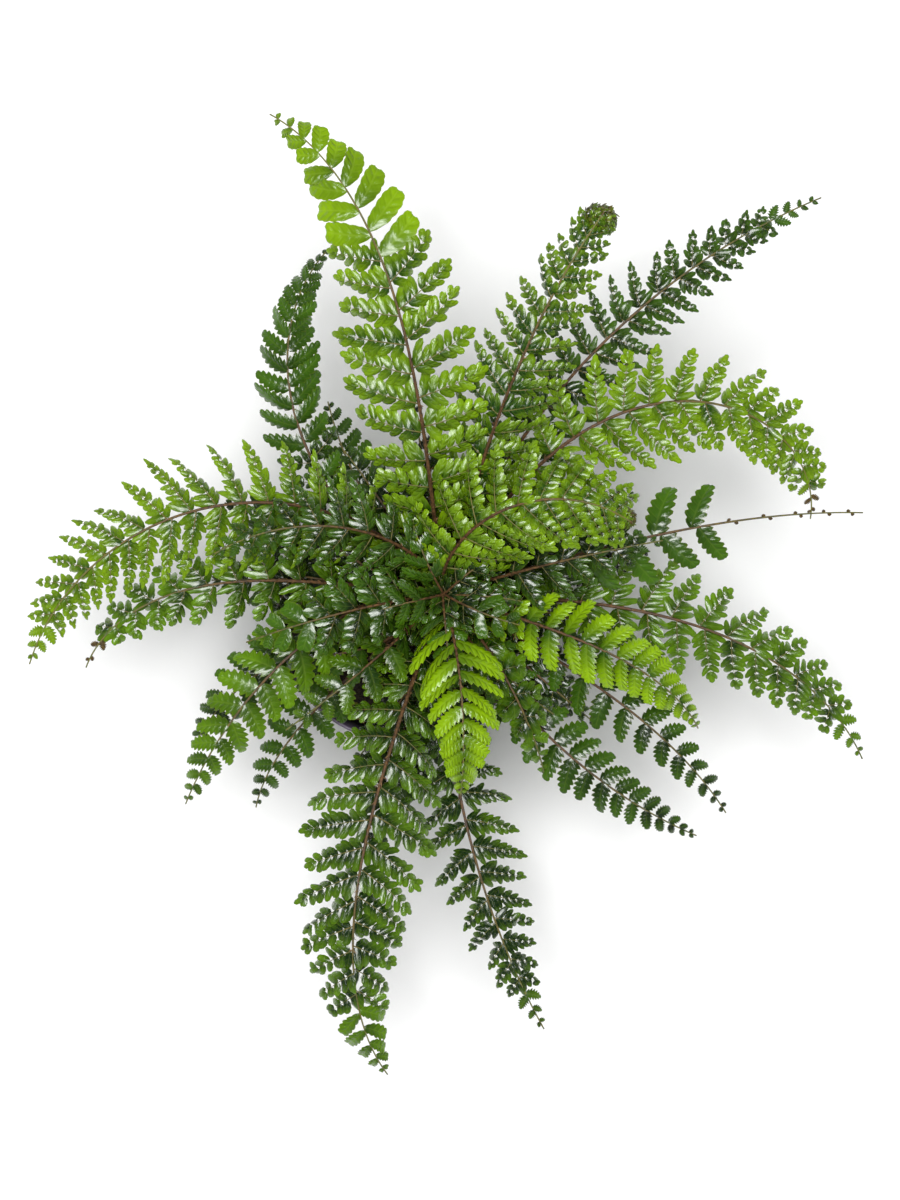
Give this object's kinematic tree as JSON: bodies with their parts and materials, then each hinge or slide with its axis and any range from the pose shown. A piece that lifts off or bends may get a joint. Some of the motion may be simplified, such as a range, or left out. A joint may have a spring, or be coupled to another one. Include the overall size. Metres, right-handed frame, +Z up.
{
  "type": "potted fern",
  "caption": "Fern with arching, twice-divided fronds growing from one scaly crown in a round plastic nursery pot",
  "frame": {"origin": "the middle of the pot's flat base, on the surface the pot stands on", "axes": "+Z up along the pot's axis; +Y towards the longest upright-leaning frond; +X to the right of it, seen from above"},
  "size_m": [0.3809, 0.432, 0.1972],
  "materials": {
    "pot": "thin black plastic, slightly glossy",
    "soil": "loose dark peat compost",
    "crown": "rough, covered in papery brown scales",
    "young_frond": "glossy yellow-green leaf on a brown-scaly stalk",
    "grown_frond": "glossy mid-green leaf on a brown-scaly stalk",
    "old_frond": "glossy dark green leaf on a brown stalk"
  },
  "bodies": {
    "root": {"pot": "pot", "soil": "soil", "crown": "crown", "inner_frond_1": "young_frond", "inner_frond_2": "young_frond", "inner_frond_3": "young_frond", "inner_frond_4": "young_frond", "inner_frond_5": "young_frond", "inner_frond_6": "young_frond", "inner_frond_7": "young_frond", "middle_frond_1": "grown_frond", "middle_frond_2": "old_frond", "middle_frond_3": "grown_frond", "middle_frond_4": "grown_frond", "middle_frond_5": "grown_frond", "middle_frond_6": "grown_frond", "middle_frond_7": "old_frond", "middle_frond_8": "grown_frond", "middle_frond_9": "old_frond", "middle_frond_10": "old_frond", "middle_frond_11": "old_frond", "middle_frond_12": "grown_frond", "middle_frond_13": "old_frond", "middle_frond_14": "old_frond", "outer_frond_1": "old_frond", "outer_frond_2": "old_frond", "outer_frond_3": "old_frond", "outer_frond_4": "old_frond", "outer_frond_5": "old_frond", "outer_frond_6": "old_frond", "outer_frond_7": "old_frond", "outer_frond_8": "old_frond", "outer_frond_9": "old_frond"}
  },
  "joints": []
}
